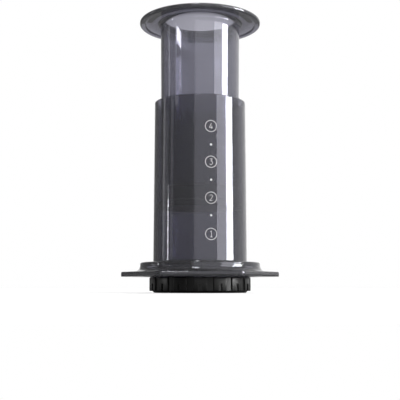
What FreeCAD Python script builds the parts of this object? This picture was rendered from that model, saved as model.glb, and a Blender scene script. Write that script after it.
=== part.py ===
import FreeCAD, Part
import os

import Sketcher

# A hand-operated coffee press: a clear chamber with a hexagonal flange, a hollow plunger with its
# rubber seal, and a perforated cap that twists on below the flange and holds a paper disc.
# Millimetres. +Z points up along the axis, and the origin lies under the middle of the filter cap.
# The plunger stands where it is after about half of its stroke.

doc = FreeCAD.newDocument("coffee_press")

# Driving sizes. Radii and heights build outward and upward from the bore and from the cap's
# underside, so a changed size carries its neighbours along.
SIZES = {
    # Chamber: bore, walls, and the lengths along the axis from the neck's open end.
    "bore_radius": 29.7,
    "rim_wall": 1.95,
    "base_wall": 2.7,
    "neck_wall": 1.9,
    "chamber_length": 129.65,
    "neck_length": 8.55,
    "edge_round": 0.5,
    # Hexagonal flange and the raised ring that the tube rises from.
    "plate_thickness": 3.4,
    "plate_overhang": 6.5,
    "plate_corner_round": 5.0,
    "plate_top_round": 1.1,
    "plate_low_round": 0.6,
    "ring_width": 9.0,
    "ring_height": 6.3,
    "ring_wall": 2.2,
    "ring_flare": 4.3,
    "ring_top_round": 1.2,
    # Twist lock: ramped lugs on the neck and inside the cap, all on one quick helix.
    "lug_count": 6,
    "lug_lead": 22.8,
    "lug_depth": 1.3,
    "lug_clearance": 0.3,
    "lug_bevel": 0.2,
    "lug_inset": 1.0,
    "neck_lug_span": 34.0,
    "cap_lug_span": 20.0,
    # Paper disc.
    "paper_thickness": 0.2,
    "paper_margin": 0.4,
    "paper_gap": 0.05,
    # Filter cap.
    "floor_thickness": 2.2,
    "cap_wall": 1.65,
    "cap_top_gap": 0.4,
    "cap_shoulder": 1.2,
    "cap_step": 2.05,
    "cap_edge_round": 0.9,
    "pad_count": 16,
    "groove_width": 4.4,
    "groove_depth": 0.8,
    "notch_width": 2.6,
    "notch_height": 5.0,
    "notch_depth": 0.8,
    "drain_radius": 1.05,
    "drain_pitch": 5.2,
    # Plunger tube.
    "tube_gap": 2.9,
    "tube_wall": 1.9,
    "tube_draft": 0.95,
    "plunger_length": 130.2,
    "knob_step": 2.85,
    "knob_undercut": 2.2,
    "knob_chamfer": 1.4,
    "end_wall": 2.0,
    # Round flange at the plunger's mouth.
    "flange_reach": 14.65,
    "flange_thickness": 3.95,
    "flange_flat": 4.75,
    "flange_fall": 2.3,
    "lip_drop": 1.0,
    "lip_width": 3.6,
    "lip_slope": 1.0,
    "flange_dome_round": 12.0,
    "flange_rim_round": 1.3,
    "flange_root_round": 2.8,
    # Seal.
    "seal_clearance": 0.08,
    "seal_height": 14.0,
    "seal_floor": 4.3,
    "seal_collar": 3.4,
    "seal_inset": 0.25,
    "socket_clearance": 0.15,
    "seal_lip_height": 1.6,
    "seal_band_height": 4.2,
    "seal_band_taper": 0.8,
    "seal_band_slope": 1.0,
    "seal_round": 0.4,
    # Where the plunger stands: the seal's underside above the paper.
    "stroke_left": 55.35,
}

sheet = doc.addObject("Spreadsheet::Sheet", "Sizes")
for row, (alias, number) in enumerate(SIZES.items(), start=1):
    sheet.set(f"A{row}", alias)
    sheet.set(f"B{row}", str(number))
    sheet.setAlias(f"B{row}", alias)
doc.recompute()

# Expressions that several features share.
NECK_RADIUS = "(Sizes.bore_radius + Sizes.neck_wall)"
TUBE_BASE_RADIUS = "(Sizes.bore_radius + Sizes.base_wall)"
RIM_RADIUS = "(Sizes.bore_radius + Sizes.rim_wall)"
RING_RADIUS = f"({TUBE_BASE_RADIUS} + Sizes.ring_width)"
HOLLOW_RADIUS = f"({RING_RADIUS} - Sizes.ring_wall)"
PLATE_FLAT = f"({RING_RADIUS} + Sizes.plate_overhang)"
PLATE_TOP = "(Sizes.neck_length + Sizes.plate_thickness)"
RING_TOP = f"({PLATE_TOP} + Sizes.ring_height)"
CAP_BORE = f"({NECK_RADIUS} + Sizes.lug_depth + Sizes.lug_clearance)"
CAP_RADIUS = f"({CAP_BORE} + Sizes.cap_wall)"
PAPER_RADIUS = f"({NECK_RADIUS} + Sizes.paper_margin)"
PAPER_TOP = "(Sizes.floor_thickness + Sizes.paper_thickness)"
NECK_END = f"({PAPER_TOP} + Sizes.paper_gap)"
CAP_HEIGHT = f"({NECK_END} + Sizes.neck_length - Sizes.cap_top_gap)"
LUG_THICKNESS = "(Sizes.lug_lead / Sizes.lug_count / 2 - Sizes.lug_clearance)"
TUBE_RADIUS = "(Sizes.bore_radius - Sizes.tube_gap)"
TUBE_BORE = f"({TUBE_RADIUS} - Sizes.tube_wall)"
TUBE_TOP_RADIUS = f"({TUBE_RADIUS} + Sizes.tube_draft)"
TUBE_MOUTH = f"({TUBE_TOP_RADIUS} - Sizes.tube_wall)"
KNOB_RADIUS = f"({TUBE_RADIUS} - Sizes.knob_step)"
KNOB_NECK_RADIUS = f"({KNOB_RADIUS} - Sizes.knob_undercut)"
KNOB_HEIGHT = (
    "(Sizes.seal_height - Sizes.seal_floor - Sizes.seal_collar - 2 * Sizes.socket_clearance)"
)
SHOULDER = "(Sizes.seal_height - Sizes.seal_floor)"
SEAL_RADIUS = "(Sizes.bore_radius - Sizes.seal_clearance)"
SEAL_HEIGHT_UP = f"({PAPER_TOP} + Sizes.stroke_left)"


def value(expression):
    """The number that an expression has with the sheet's sizes."""
    return float(sheet.evalExpression(expression))


def new_body(label):
    made = doc.addObject("PartDesign::Body", label)
    made.Label = label
    return made


def origin_part(body, role):
    return next(part for part in body.Origin.OriginFeatures if part.Role == role)


def new_sketch(body, name, plane, lift="0"):
    """An empty sketch on one of the body's origin planes, lifted along the plane's normal."""
    made = body.newObject("Sketcher::SketchObject", name)
    made.AttachmentSupport = [(origin_part(body, plane), "")]
    made.MapMode = "FlatFace"
    made.setExpression("AttachmentOffset.Base.z", lift)
    return made


def hold(made, kind, geometry, point, expression):
    """Tie one coordinate of a sketch point to an expression, or to the axis where it is zero."""
    across = kind == "DistanceX"
    if expression == "0":
        axis = -2 if across else -1
        made.addConstraint(Sketcher.Constraint("PointOnObject", geometry, point, axis))
        return
    number = value(expression)
    index = made.addConstraint(Sketcher.Constraint(kind, -1, 1, geometry, point, number))
    name = f"{kind}_{geometry}_{point}"
    made.renameConstraint(index, name)
    made.setExpression(f"Constraints.{name}", expression)


def swing(made, axis, angle):
    """Turn a sketch about one of its own axes by an angle in degrees."""
    turned = FreeCAD.Rotation(axis, value(angle))
    made.AttachmentOffset = FreeCAD.Placement(made.AttachmentOffset.Base, turned)
    made.setExpression("AttachmentOffset.Rotation.Angle", angle)


def outline(body, name, plane, corners, lift="0"):
    """A closed sketch of straight lines whose corners are pairs of expressions."""
    made = new_sketch(body, name, plane, lift)
    points = [FreeCAD.Vector(value(across), value(up), 0) for across, up in corners]
    for start, end in zip(points, points[1:] + points[:1]):
        made.addGeometry(Part.LineSegment(start, end), False)
    for line in range(len(points)):
        following = (line + 1) % len(points)
        made.addConstraint(Sketcher.Constraint("Coincident", line, 2, following, 1))
    for line, (across, up) in enumerate(corners):
        hold(made, "DistanceX", line, 1, across)
        hold(made, "DistanceY", line, 1, up)
    return made


def disc(body, name, radius, centre="0"):
    """A sketch on the XY plane with one circle, its centre out along X."""
    made = new_sketch(body, name, "XY_Plane")
    middle = FreeCAD.Vector(value(centre), 0, 0)
    made.addGeometry(Part.Circle(middle, FreeCAD.Vector(0, 0, 1), value(radius)), False)
    hold(made, "DistanceX", 0, 3, centre)
    hold(made, "DistanceY", 0, 3, "0")
    index = made.addConstraint(Sketcher.Constraint("Radius", 0, value(radius)))
    made.renameConstraint(index, "radius")
    made.setExpression("Constraints.radius", radius)
    return made


def turn(body, name, kind, profile):
    """Revolve a profile about the body's Z axis, as a Revolution or a Groove."""
    made = body.newObject(f"PartDesign::{kind}", name)
    made.Profile = profile
    made.ReferenceAxis = (profile, ["V_Axis"])
    made.Angle = 360
    doc.recompute()
    return made


def cut_up(body, name, profile, length=None):
    """Cut upward from a sketch on the XY plane, through everything or to a length."""
    made = body.newObject("PartDesign::Pocket", name)
    made.Profile = profile
    made.Reversed = True
    if length is None:
        made.Type = "ThroughAll"
    else:
        made.setExpression("Length", length)
    doc.recompute()
    return made


def ring_of(body, name, feature, count):
    """Repeat a feature about the Z axis."""
    made = body.newObject("PartDesign::PolarPattern", name)
    made.Originals = [feature]
    made.Axis = (origin_part(body, "Z_Axis"), [""])
    made.Angle = 360
    made.setExpression("Occurrences", count)
    body.Tip = made
    doc.recompute()
    return made


def circle_names(shape, circles):
    """Names of the edges that lie on the given circles about the Z axis: radius and height."""
    names = []
    for number, edge in enumerate(shape.Edges, start=1):
        ends = [edge.valueAt(edge.FirstParameter), edge.valueAt(edge.LastParameter)]
        middle = edge.valueAt((edge.FirstParameter + edge.LastParameter) / 2)
        for radius, height in circles:
            places = ends + [middle]
            near = [
                abs((place.x**2 + place.y**2) ** 0.5 - radius) < 0.01
                and abs(place.z - height) < 0.01
                for place in places
            ]
            if all(near):
                names.append(f"Edge{number}")
    return names


def soften(body, name, kind, radius, circles):
    """Round or chamfer the circular edges at the given radii and heights."""
    base = body.Tip
    wanted = [(value(across), value(up)) for across, up in circles]
    names = circle_names(base.Shape, wanted)
    if len(names) < len(wanted):
        raise RuntimeError(f"{body.Label}: {name} found {len(names)} edges")
    made = body.newObject(f"PartDesign::{kind}", name)
    made.Base = (base, names)
    made.setExpression("Radius" if kind == "Fillet" else "Size", radius)
    doc.recompute()
    return made


def ramp(body, name, root, crest, low, span):
    """One lug, swept along the lock's helix over a span of degrees that is centred on X."""
    section = (
        (root, low),
        (crest, f"{low} + Sizes.lug_bevel"),
        (crest, f"{low} + {LUG_THICKNESS} - Sizes.lug_bevel"),
        (root, f"{low} + {LUG_THICKNESS}"),
    )
    profile = outline(body, f"{name}_section", "XZ_Plane", section)
    swing(profile, FreeCAD.Vector(0, 1, 0), f"-{span} / 2")
    made = body.newObject("PartDesign::AdditiveHelix", name)
    made.Profile = profile
    made.ReferenceAxis = (origin_part(body, "Z_Axis"), [""])
    made.Mode = "pitch-height-angle"
    made.LeftHanded = False
    made.setExpression("Pitch", "Sizes.lug_lead")
    made.setExpression("Height", f"Sizes.lug_lead * {span} / 360")
    doc.recompute()
    return made


def make_chamber():
    body = new_body("chamber")

    # The hexagonal flange, with two corners on X.
    corner = f"({PLATE_FLAT} / cos(30))"
    half = f"({corner} / 2)"
    hexagon = (
        (corner, "0"),
        (half, PLATE_FLAT),
        (f"-{half}", PLATE_FLAT),
        (f"-{corner}", "0"),
        (f"-{half}", f"-{PLATE_FLAT}"),
        (half, f"-{PLATE_FLAT}"),
    )
    plate = body.newObject("PartDesign::Pad", "plate")
    plate.Profile = outline(body, "plate_outline", "XY_Plane", hexagon, "Sizes.neck_length")
    plate.setExpression("Length", "Sizes.plate_thickness")
    doc.recompute()
    low = value("Sizes.neck_length")
    high = value(PLATE_TOP)
    uprights = []
    for number, edge in enumerate(plate.Shape.Edges, start=1):
        if abs(edge.Vertexes[0].Z - edge.Vertexes[-1].Z) > (high - low) / 2:
            uprights.append(f"Edge{number}")
    corners = body.newObject("PartDesign::Fillet", "plate_corners")
    corners.Base = (plate, uprights)
    corners.setExpression("Radius", "Sizes.plate_corner_round")
    doc.recompute()
    for name, height, radius in (
        ("plate_top_edge", high, "Sizes.plate_top_round"),
        ("plate_low_edge", low, "Sizes.plate_low_round"),
    ):
        base = body.Tip
        around = []
        for number, edge in enumerate(base.Shape.Edges, start=1):
            if all(abs(corner.Z - height) < 0.01 for corner in edge.Vertexes):
                around.append(f"Edge{number}")
        rounded = body.newObject("PartDesign::Fillet", name)
        rounded.Base = (base, around)
        rounded.setExpression("Radius", radius)
        doc.recompute()

    # Neck, raised ring and tube in one turned section, then the bore and the hollow under the ring.
    barrel = (
        ("Sizes.bore_radius", "0"),
        (NECK_RADIUS, "0"),
        (NECK_RADIUS, PLATE_TOP),
        (RING_RADIUS, PLATE_TOP),
        (RING_RADIUS, RING_TOP),
        (TUBE_BASE_RADIUS, RING_TOP),
        (RIM_RADIUS, "Sizes.chamber_length"),
        ("Sizes.bore_radius", "Sizes.chamber_length"),
    )
    turn(body, "barrel", "Revolution", outline(body, "barrel_section", "XZ_Plane", barrel))
    bore = (
        ("0", "0"),
        ("Sizes.bore_radius", "0"),
        ("Sizes.bore_radius", "Sizes.chamber_length"),
        ("0", "Sizes.chamber_length"),
    )
    turn(body, "bore", "Groove", outline(body, "bore_section", "XZ_Plane", bore))
    ceiling = f"({RING_TOP} - Sizes.ring_wall)"
    hollow = (
        (NECK_RADIUS, "Sizes.neck_length"),
        (HOLLOW_RADIUS, "Sizes.neck_length"),
        (HOLLOW_RADIUS, ceiling),
        (NECK_RADIUS, ceiling),
    )
    turn(body, "ring_hollow", "Groove", outline(body, "hollow_section", "XZ_Plane", hollow))

    soften(body, "ring_top_edge", "Fillet", "Sizes.ring_top_round", [(RING_RADIUS, RING_TOP)])
    flare = "min(Sizes.ring_flare; Sizes.ring_height - Sizes.ring_top_round - Sizes.edge_round)"
    soften(body, "ring_foot", "Fillet", flare, [(RING_RADIUS, PLATE_TOP)])
    soften(body, "tube_foot", "Fillet", "Sizes.ring_top_round", [(TUBE_BASE_RADIUS, RING_TOP)])
    rims = [
        (RIM_RADIUS, "Sizes.chamber_length"),
        ("Sizes.bore_radius", "Sizes.chamber_length"),
        ("Sizes.bore_radius", "0"),
        (NECK_RADIUS, "0"),
    ]
    soften(body, "rims", "Fillet", "Sizes.edge_round", rims)
    soften(body, "hollow_corner", "Fillet", "Sizes.edge_round", [(HOLLOW_RADIUS, ceiling)])

    # The lock's lugs stand out from the neck.
    root = f"({NECK_RADIUS} - Sizes.neck_wall / 2)"
    crest = f"({NECK_RADIUS} + Sizes.lug_depth)"
    lug = ramp(body, "neck_lug", root, crest, "Sizes.lug_inset", "Sizes.neck_lug_span")
    ring_of(body, "neck_lugs", lug, "Sizes.lug_count")
    body.setExpression("Placement.Base.z", NECK_END)
    return body


def make_filter_cap():
    body = new_body("filter_cap")

    # A cup whose floor stands a little below its skirt, with a bevel between.
    cone = f"({CAP_RADIUS} - Sizes.cap_step)"
    base = f"({cone} - Sizes.cap_shoulder)"
    cup = (
        ("0", "0"),
        (base, "0"),
        (cone, "Sizes.cap_shoulder"),
        (CAP_RADIUS, "Sizes.cap_shoulder"),
        (CAP_RADIUS, CAP_HEIGHT),
        (CAP_BORE, CAP_HEIGHT),
        (CAP_BORE, "Sizes.floor_thickness"),
        ("0", "Sizes.floor_thickness"),
    )
    turn(body, "cup", "Revolution", outline(body, "cup_section", "XZ_Plane", cup))
    soften(body, "cap_top_edge", "Fillet", "Sizes.cap_edge_round", [(CAP_RADIUS, CAP_HEIGHT)])
    small_edges = [
        (base, "0"),
        (CAP_RADIUS, "Sizes.cap_shoulder"),
        (CAP_BORE, CAP_HEIGHT),
    ]
    soften(body, "cap_small_edges", "Fillet", "Sizes.edge_round", small_edges)

    # Drain holes: one in the middle and rings of six more each, as far out as the bore reaches.
    middle = cut_up(body, "drain_middle", disc(body, "drain_middle_circle", "Sizes.drain_radius"))
    body.Tip = middle
    reach = "(Sizes.bore_radius - 2 * Sizes.drain_radius)"
    for ring in range(1, int(value(f"{reach} / Sizes.drain_pitch")) + 1):
        circle = disc(
            body, f"drain_circle_{ring}", "Sizes.drain_radius", f"{ring} * Sizes.drain_pitch"
        )
        hole = cut_up(body, f"drain_{ring}", circle)
        ring_of(body, f"drain_ring_{ring}", hole, f"6 * {ring}")

    # Grip pads: shallow grooves part them, and each has a short notch at its lower edge.
    outside = f"({CAP_RADIUS} + Sizes.edge_round)"
    notch_top = "Sizes.cap_shoulder + Sizes.notch_height"
    for name, depth, width, length, angle in (
        ("groove", "Sizes.groove_depth", "Sizes.groove_width", None, "180 / Sizes.pad_count"),
        ("notch", "Sizes.notch_depth", "Sizes.notch_width", notch_top, "0"),
    ):
        inside = f"({CAP_RADIUS} - {depth})"
        slot = (
            (inside, f"-{width} / 2"),
            (outside, f"-{width} / 2"),
            (outside, f"{width} / 2"),
            (inside, f"{width} / 2"),
        )
        profile = outline(body, f"{name}_outline", "XY_Plane", slot)
        swing(profile, FreeCAD.Vector(0, 0, 1), angle)
        cut = cut_up(body, name, profile, length)
        ring_of(body, f"{name}_ring", cut, "Sizes.pad_count")

    # The lock's inner lugs lie on the neck's lugs, one clearance above them.
    root = f"({CAP_BORE} + (Sizes.cap_wall - Sizes.groove_depth) / 2)"
    crest = f"({NECK_RADIUS} + Sizes.lug_clearance)"
    ahead = "(Sizes.lug_lead * (Sizes.neck_lug_span - Sizes.cap_lug_span) / 720)"
    low = f"({NECK_END} + Sizes.lug_inset + {LUG_THICKNESS} + Sizes.lug_clearance + {ahead})"
    lug = ramp(body, "cap_lug", root, crest, low, "Sizes.cap_lug_span")
    ring_of(body, "cap_lugs", lug, "Sizes.lug_count")
    return body


def make_paper_filter():
    body = new_body("paper_filter")
    sheet_of_paper = body.newObject("PartDesign::Pad", "sheet_of_paper")
    sheet_of_paper.Profile = disc(body, "paper_circle", PAPER_RADIUS)
    sheet_of_paper.setExpression("Length", "Sizes.paper_thickness")
    doc.recompute()
    body.setExpression("Placement.Base.z", "Sizes.floor_thickness")
    return body


def make_plunger_seal():
    body = new_body("plunger_seal")

    # A sealing lip at the bottom, a tapering band above it, and a collar round the knob's neck.
    band_radius = f"({SEAL_RADIUS} - Sizes.seal_band_taper)"
    sleeve_radius = f"({TUBE_RADIUS} - Sizes.seal_inset)"
    socket_radius = f"({KNOB_RADIUS} + Sizes.socket_clearance)"
    collar_radius = f"({KNOB_NECK_RADIUS} + Sizes.socket_clearance)"
    collar_low = "(Sizes.seal_height - Sizes.seal_collar)"
    section = (
        ("0", "0"),
        (SEAL_RADIUS, "0"),
        (SEAL_RADIUS, "Sizes.seal_lip_height"),
        (band_radius, "Sizes.seal_band_height"),
        (sleeve_radius, "Sizes.seal_band_height + Sizes.seal_band_slope"),
        (sleeve_radius, "Sizes.seal_height"),
        (collar_radius, "Sizes.seal_height"),
        (collar_radius, collar_low),
        (socket_radius, collar_low),
        (socket_radius, "Sizes.seal_floor"),
        ("0", "Sizes.seal_floor"),
    )
    turn(body, "seal", "Revolution", outline(body, "seal_section", "XZ_Plane", section))
    edges = [
        (SEAL_RADIUS, "0"),
        (sleeve_radius, "Sizes.seal_height"),
        (collar_radius, "Sizes.seal_height"),
        (band_radius, "Sizes.seal_band_height"),
    ]
    soften(body, "seal_edges", "Fillet", "Sizes.seal_round", edges)
    body.setExpression("Placement.Base.z", SEAL_HEIGHT_UP)
    return body


def make_plunger_tube():
    body = new_body("plunger_tube")

    # One turned section, from the closed end of the knob up to the flange and down inside. The tube
    # widens a little towards its mouth, so that it leaves its mould.
    top = "Sizes.plunger_length"
    flat_radius = f"({TUBE_TOP_RADIUS} + Sizes.flange_flat)"
    flange_radius = f"({TUBE_TOP_RADIUS} + Sizes.flange_reach)"
    lip_radius = f"({flange_radius} - Sizes.lip_width)"
    root_radius = f"({lip_radius} - Sizes.lip_slope)"
    rim_top = f"({top} - Sizes.flange_fall)"
    underside = f"({top} - Sizes.flange_thickness)"
    lip_low = f"({underside} - Sizes.lip_drop)"
    core_radius = f"({KNOB_NECK_RADIUS} - Sizes.tube_wall)"
    step = f"({SHOULDER} + Sizes.tube_wall)"
    section = (
        ("0", "0"),
        (KNOB_RADIUS, "0"),
        (KNOB_RADIUS, KNOB_HEIGHT),
        (KNOB_NECK_RADIUS, KNOB_HEIGHT),
        (KNOB_NECK_RADIUS, SHOULDER),
        (TUBE_RADIUS, SHOULDER),
        (TUBE_TOP_RADIUS, underside),
        (root_radius, underside),
        (lip_radius, lip_low),
        (flange_radius, lip_low),
        (flange_radius, rim_top),
        (flat_radius, top),
        (TUBE_MOUTH, top),
        (TUBE_BORE, step),
        (core_radius, step),
        (core_radius, "Sizes.end_wall"),
        ("0", "Sizes.end_wall"),
    )
    turn(body, "tube", "Revolution", outline(body, "tube_section", "XZ_Plane", section))
    soften(body, "knob_lead", "Chamfer", "Sizes.knob_chamfer", [(KNOB_RADIUS, "0")])
    dome = "min(Sizes.flange_dome_round; 2 * Sizes.flange_flat)"
    soften(body, "flange_dome", "Fillet", dome, [(flat_radius, top)])
    rim = [(flange_radius, rim_top), (flange_radius, lip_low)]
    soften(body, "flange_rim", "Fillet", "Sizes.flange_rim_round", rim)
    soften(body, "flange_root", "Fillet", "Sizes.flange_root_round", [(TUBE_TOP_RADIUS, underside)])
    small_edges = [
        (lip_radius, lip_low),
        (root_radius, underside),
        (TUBE_MOUTH, top),
        (TUBE_BORE, step),
        (core_radius, step),
        (core_radius, "Sizes.end_wall"),
        (TUBE_RADIUS, SHOULDER),
    ]
    soften(body, "tube_small_edges", "Fillet", "Sizes.edge_round", small_edges)
    seat = f"({SEAL_HEIGHT_UP} + Sizes.seal_floor + Sizes.socket_clearance)"
    body.setExpression("Placement.Base.z", seat)
    return body


pieces = [
    make_chamber(),
    make_filter_cap(),
    make_paper_filter(),
    make_plunger_seal(),
    make_plunger_tube(),
]
doc.recompute()

# Nothing is written unless every feature is sound and every cut and addition has done its work.
for item in doc.Objects:
    if "Invalid" in item.State or "Error" in item.State:
        raise RuntimeError(f"{item.Label}: {item.State}")
for body in pieces:
    if body.Shape.isNull() or not body.Shape.isValid() or len(body.Shape.Solids) != 1:
        raise RuntimeError(f"{body.Label} is not one sound solid")
    for feature in body.Group:
        base = getattr(feature, "BaseFeature", None)
        if base is None:
            continue
        change = feature.Shape.Volume - base.Shape.Volume
        cuts = feature.isDerivedFrom("PartDesign::Pocket") or feature.isDerivedFrom("PartDesign::Groove")
        if abs(change) < 0.01 or (cuts and change > 0):
            raise RuntimeError(f"{body.Label}: {feature.Name} changes nothing")

os.makedirs("parts", exist_ok=True)
for body in pieces:
    body.Shape.exportStep(f"parts/{body.Label}.step")
    box = body.Shape.BoundBox
    print(f"{body.Label}: volume {body.Shape.Volume:.0f}, z {box.ZMin:.2f} to {box.ZMax:.2f}")
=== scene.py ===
import math

import bmesh
import bpy
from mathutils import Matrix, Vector


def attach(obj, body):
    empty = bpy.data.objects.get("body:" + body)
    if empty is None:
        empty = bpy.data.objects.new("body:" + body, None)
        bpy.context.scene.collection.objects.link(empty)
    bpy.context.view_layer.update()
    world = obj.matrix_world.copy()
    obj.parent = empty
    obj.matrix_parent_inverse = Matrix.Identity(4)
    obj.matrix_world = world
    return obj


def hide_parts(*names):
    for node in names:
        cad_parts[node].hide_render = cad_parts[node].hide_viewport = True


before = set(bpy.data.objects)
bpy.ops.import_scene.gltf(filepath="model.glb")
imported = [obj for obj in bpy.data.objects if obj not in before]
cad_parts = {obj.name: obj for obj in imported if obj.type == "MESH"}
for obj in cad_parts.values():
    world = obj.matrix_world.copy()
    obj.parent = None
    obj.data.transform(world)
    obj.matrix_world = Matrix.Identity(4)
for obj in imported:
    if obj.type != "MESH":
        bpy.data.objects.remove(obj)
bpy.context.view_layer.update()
MM = 0.001


# The chamber is one injection moulding in smoke-grey clear copolyester. Its tube rises from a raised
# ring on the hexagonal flange that carries the press, and the short neck below has six ramped lugs
# for the cap. The tube narrows a little towards its rim, so that it leaves the mould.
BORE = 29.7
NECK_END = 2.45
NECK_OUTSIDE = 31.6
NECK_FLAT_OUTER = BORE + 1.2
NECK_FLAT_INNER = BORE + 1.0
NECK_ROUND_START = NECK_END + 0.8
PLATE_LOW = 11.0
PLATE_TOP = 14.4
RING_TOP = 20.7
RING_OUTSIDE = 41.4
RING_ROUND = 1.2
RING_FILLET = 4.3
FILLET_FOOT = RING_OUTSIDE + 4.8
HOLLOW_OUTSIDE = 39.2
HOLLOW_CEILING = 18.5
HOLLOW_FLAT = HOLLOW_OUTSIDE + 1.0
NECK_ROOT = HOLLOW_CEILING - 2.0
TUBE_FOOT = 32.4
RIM_OUTSIDE = 31.65
CHAMBER_RIM = 132.1
FLANGE_ACROSS_FLATS = 95.8
FLANGE_CORNER = 5.0
FLANGE_CORNERS = 6
CORNER_ARC = 2.8
FLANGE_TOP_ROUND = 1.1
FLANGE_TOP_FLAT = 1.35
FLANGE_LOW_ROUND = 0.6
FLANGE_LOW_FLAT = 0.75
QUARTER_STEPS = 6
EDGE_ROUND = 0.5
SLIGHT_ROUND = 0.3
LUG_LEAD = 22.8
LUG_SPAN = 34.0
LUG_FLANK = 0.2
LUG_MARGIN = 0.01
LUG_LOW = 3.45
LUG_THICK = 1.6
LUG_CREST = 32.9
LUG_BEVEL = 0.2
ROUND_STEP = math.radians(13)
FEWEST_STEPS = 3
FLAT_HOLD = 0.15


def eased(corners, closed=False):
    """Points along a section, given as radius, height and rounding of each corner, in millimetres.
    A point close to each rounding keeps the flat beside it evenly shaded."""
    points = []
    for number, (radius, height, ease) in enumerate(corners):
        here = Vector((radius, height))
        at_end = not closed and number in (0, len(corners) - 1)
        if ease == 0 or at_end:
            points.append(here)
            continue
        back = Vector(corners[number - 1][:2]) - here
        on = Vector(corners[(number + 1) % len(corners)][:2]) - here
        half = back.angle(on) / 2
        centre = here + (back.normalized() + on.normalized()).normalized() * (ease / math.sin(half))
        start = here + back.normalized() * (ease / math.tan(half))
        end = here + on.normalized() * (ease / math.tan(half))
        first = math.atan2(*(start - centre).yx)
        last = math.atan2(*(end - centre).yx)
        turn = (last - first + math.pi) % (2 * math.pi) - math.pi
        steps = max(FEWEST_STEPS, math.ceil(abs(turn) / ROUND_STEP))
        hold = min(FLAT_HOLD, ease / 2)
        points.append(start + back.normalized() * hold)
        for step in range(steps + 1):
            angle = first + turn * step / steps
            points.append(centre + Vector((math.cos(angle), math.sin(angle))) * ease)
        points.append(end + on.normalized() * hold)
    return points


def swept(name, angles, section_at, closed=True, full=True):
    """A closed mesh: a section, which may change with the angle, carried round the Z axis. A section
    that isn't closed starts and ends on the axis. A part turn gets a face at each end."""
    form = bmesh.new()
    columns = []
    poles = []
    for number, angle in enumerate(angles):
        section = section_at(angle)
        if not closed:
            if number == 0:
                poles = [form.verts.new((0, 0, end[1] * MM)) for end in (section[0], section[-1])]
            section = section[1:-1]
        across = Vector((math.cos(angle), math.sin(angle)))
        places = [(across.x * r * MM, across.y * r * MM, z * MM) for r, z in section]
        column = [form.verts.new(place) for place in places]
        if not closed:
            column = [poles[0]] + column + [poles[1]]
        columns.append(column)
    count = len(columns)
    rows = len(columns[0])
    for number in range(count if full else count - 1):
        here = columns[number]
        following = columns[(number + 1) % count]
        for row in range(rows if closed else rows - 1):
            above = (row + 1) % rows
            around = [here[row], following[row], following[above], here[above]]
            form.faces.new(list(dict.fromkeys(around)))
    if not full:
        form.faces.new(columns[0])
        form.faces.new(columns[-1])
    bmesh.ops.recalc_face_normals(form, faces=form.faces)
    mesh = bpy.data.meshes.new(name)
    form.to_mesh(mesh)
    form.free()
    piece = bpy.data.objects.new(name, mesh)
    bpy.context.scene.collection.objects.link(piece)
    return piece


def soften(piece, degrees=32):
    """Smooth shading, apart from edges sharper than an angle."""
    piece.data.shade_smooth()
    piece.data.set_sharp_from_angle(angle=math.radians(degrees))


def flange_edge(angle, inset):
    """Radius of the hexagonal flange's outline at an angle, drawn in by an inset."""
    sector = 2 * math.pi / FLANGE_CORNERS
    off_corner = abs((angle + sector / 2) % sector - sector / 2)
    flat = FLANGE_ACROSS_FLATS / 2 - inset
    corner = FLANGE_CORNER - inset
    out = (flat - corner) / math.cos(sector / 2)
    tangent = math.atan2(corner * math.sin(sector / 2), out + corner * math.cos(sector / 2))
    if off_corner > tangent:
        return flat / math.cos(sector / 2 - off_corner)
    side = out * math.sin(off_corner)
    return out * math.cos(off_corner) + math.sqrt(corner**2 - side**2)


def flange_angles():
    """Angles round the chamber, closer together at the flange's corners and at the lugs' ends. Each
    stretch of one corner's share has a start, an end and a number of steps."""
    sector = 360 / FLANGE_CORNERS
    lug = LUG_SPAN / 2
    stretches = [
        (-sector / 2, -lug - LUG_FLANK, 7),
        (-lug - LUG_FLANK, -lug, 1),
        (-lug, -CORNER_ARC, 8),
        (-CORNER_ARC, CORNER_ARC, 10),
        (CORNER_ARC, lug, 8),
        (lug, lug + LUG_FLANK, 1),
        (lug + LUG_FLANK, sector / 2, 7),
    ]
    found = []
    for corner in range(FLANGE_CORNERS):
        for start, end, steps in stretches:
            for step in range(steps):
                degrees = corner * sector + start + (end - start) * step / steps
                found.append(math.radians(degrees))
    return found


def flange_round(ease, upward):
    """Inset and height along the quarter round at the flange's top or bottom edge."""
    for step in range(QUARTER_STEPS + 1):
        angle = math.pi / 2 * step / QUARTER_STEPS
        rise = ease * math.sin(angle)
        inset = ease * (1 - math.cos(angle))
        yield inset, (PLATE_TOP - ease + rise) if upward else (PLATE_LOW + ease - rise)


def neck_lug(angle):
    """The four points of the neck's section that carry a lug, or lie on the neck between two lugs."""
    sector = 360 / FLANGE_CORNERS
    along = (math.degrees(angle) + sector / 2) % sector - sector / 2 + LUG_SPAN / 2
    on_lug = -LUG_MARGIN <= along <= LUG_SPAN + LUG_MARGIN
    if not on_lug:
        gap = sector - LUG_SPAN
        beyond = (along - LUG_SPAN) % sector
        along = LUG_SPAN * (1 - beyond / gap)
    low = LUG_LOW + LUG_LEAD * along / 360
    crest = LUG_CREST if on_lug else NECK_OUTSIDE
    return [
        (NECK_OUTSIDE, low + LUG_THICK),
        (crest, low + LUG_THICK - LUG_BEVEL),
        (crest, low + LUG_BEVEL),
        (NECK_OUTSIDE, low),
    ]


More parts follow.
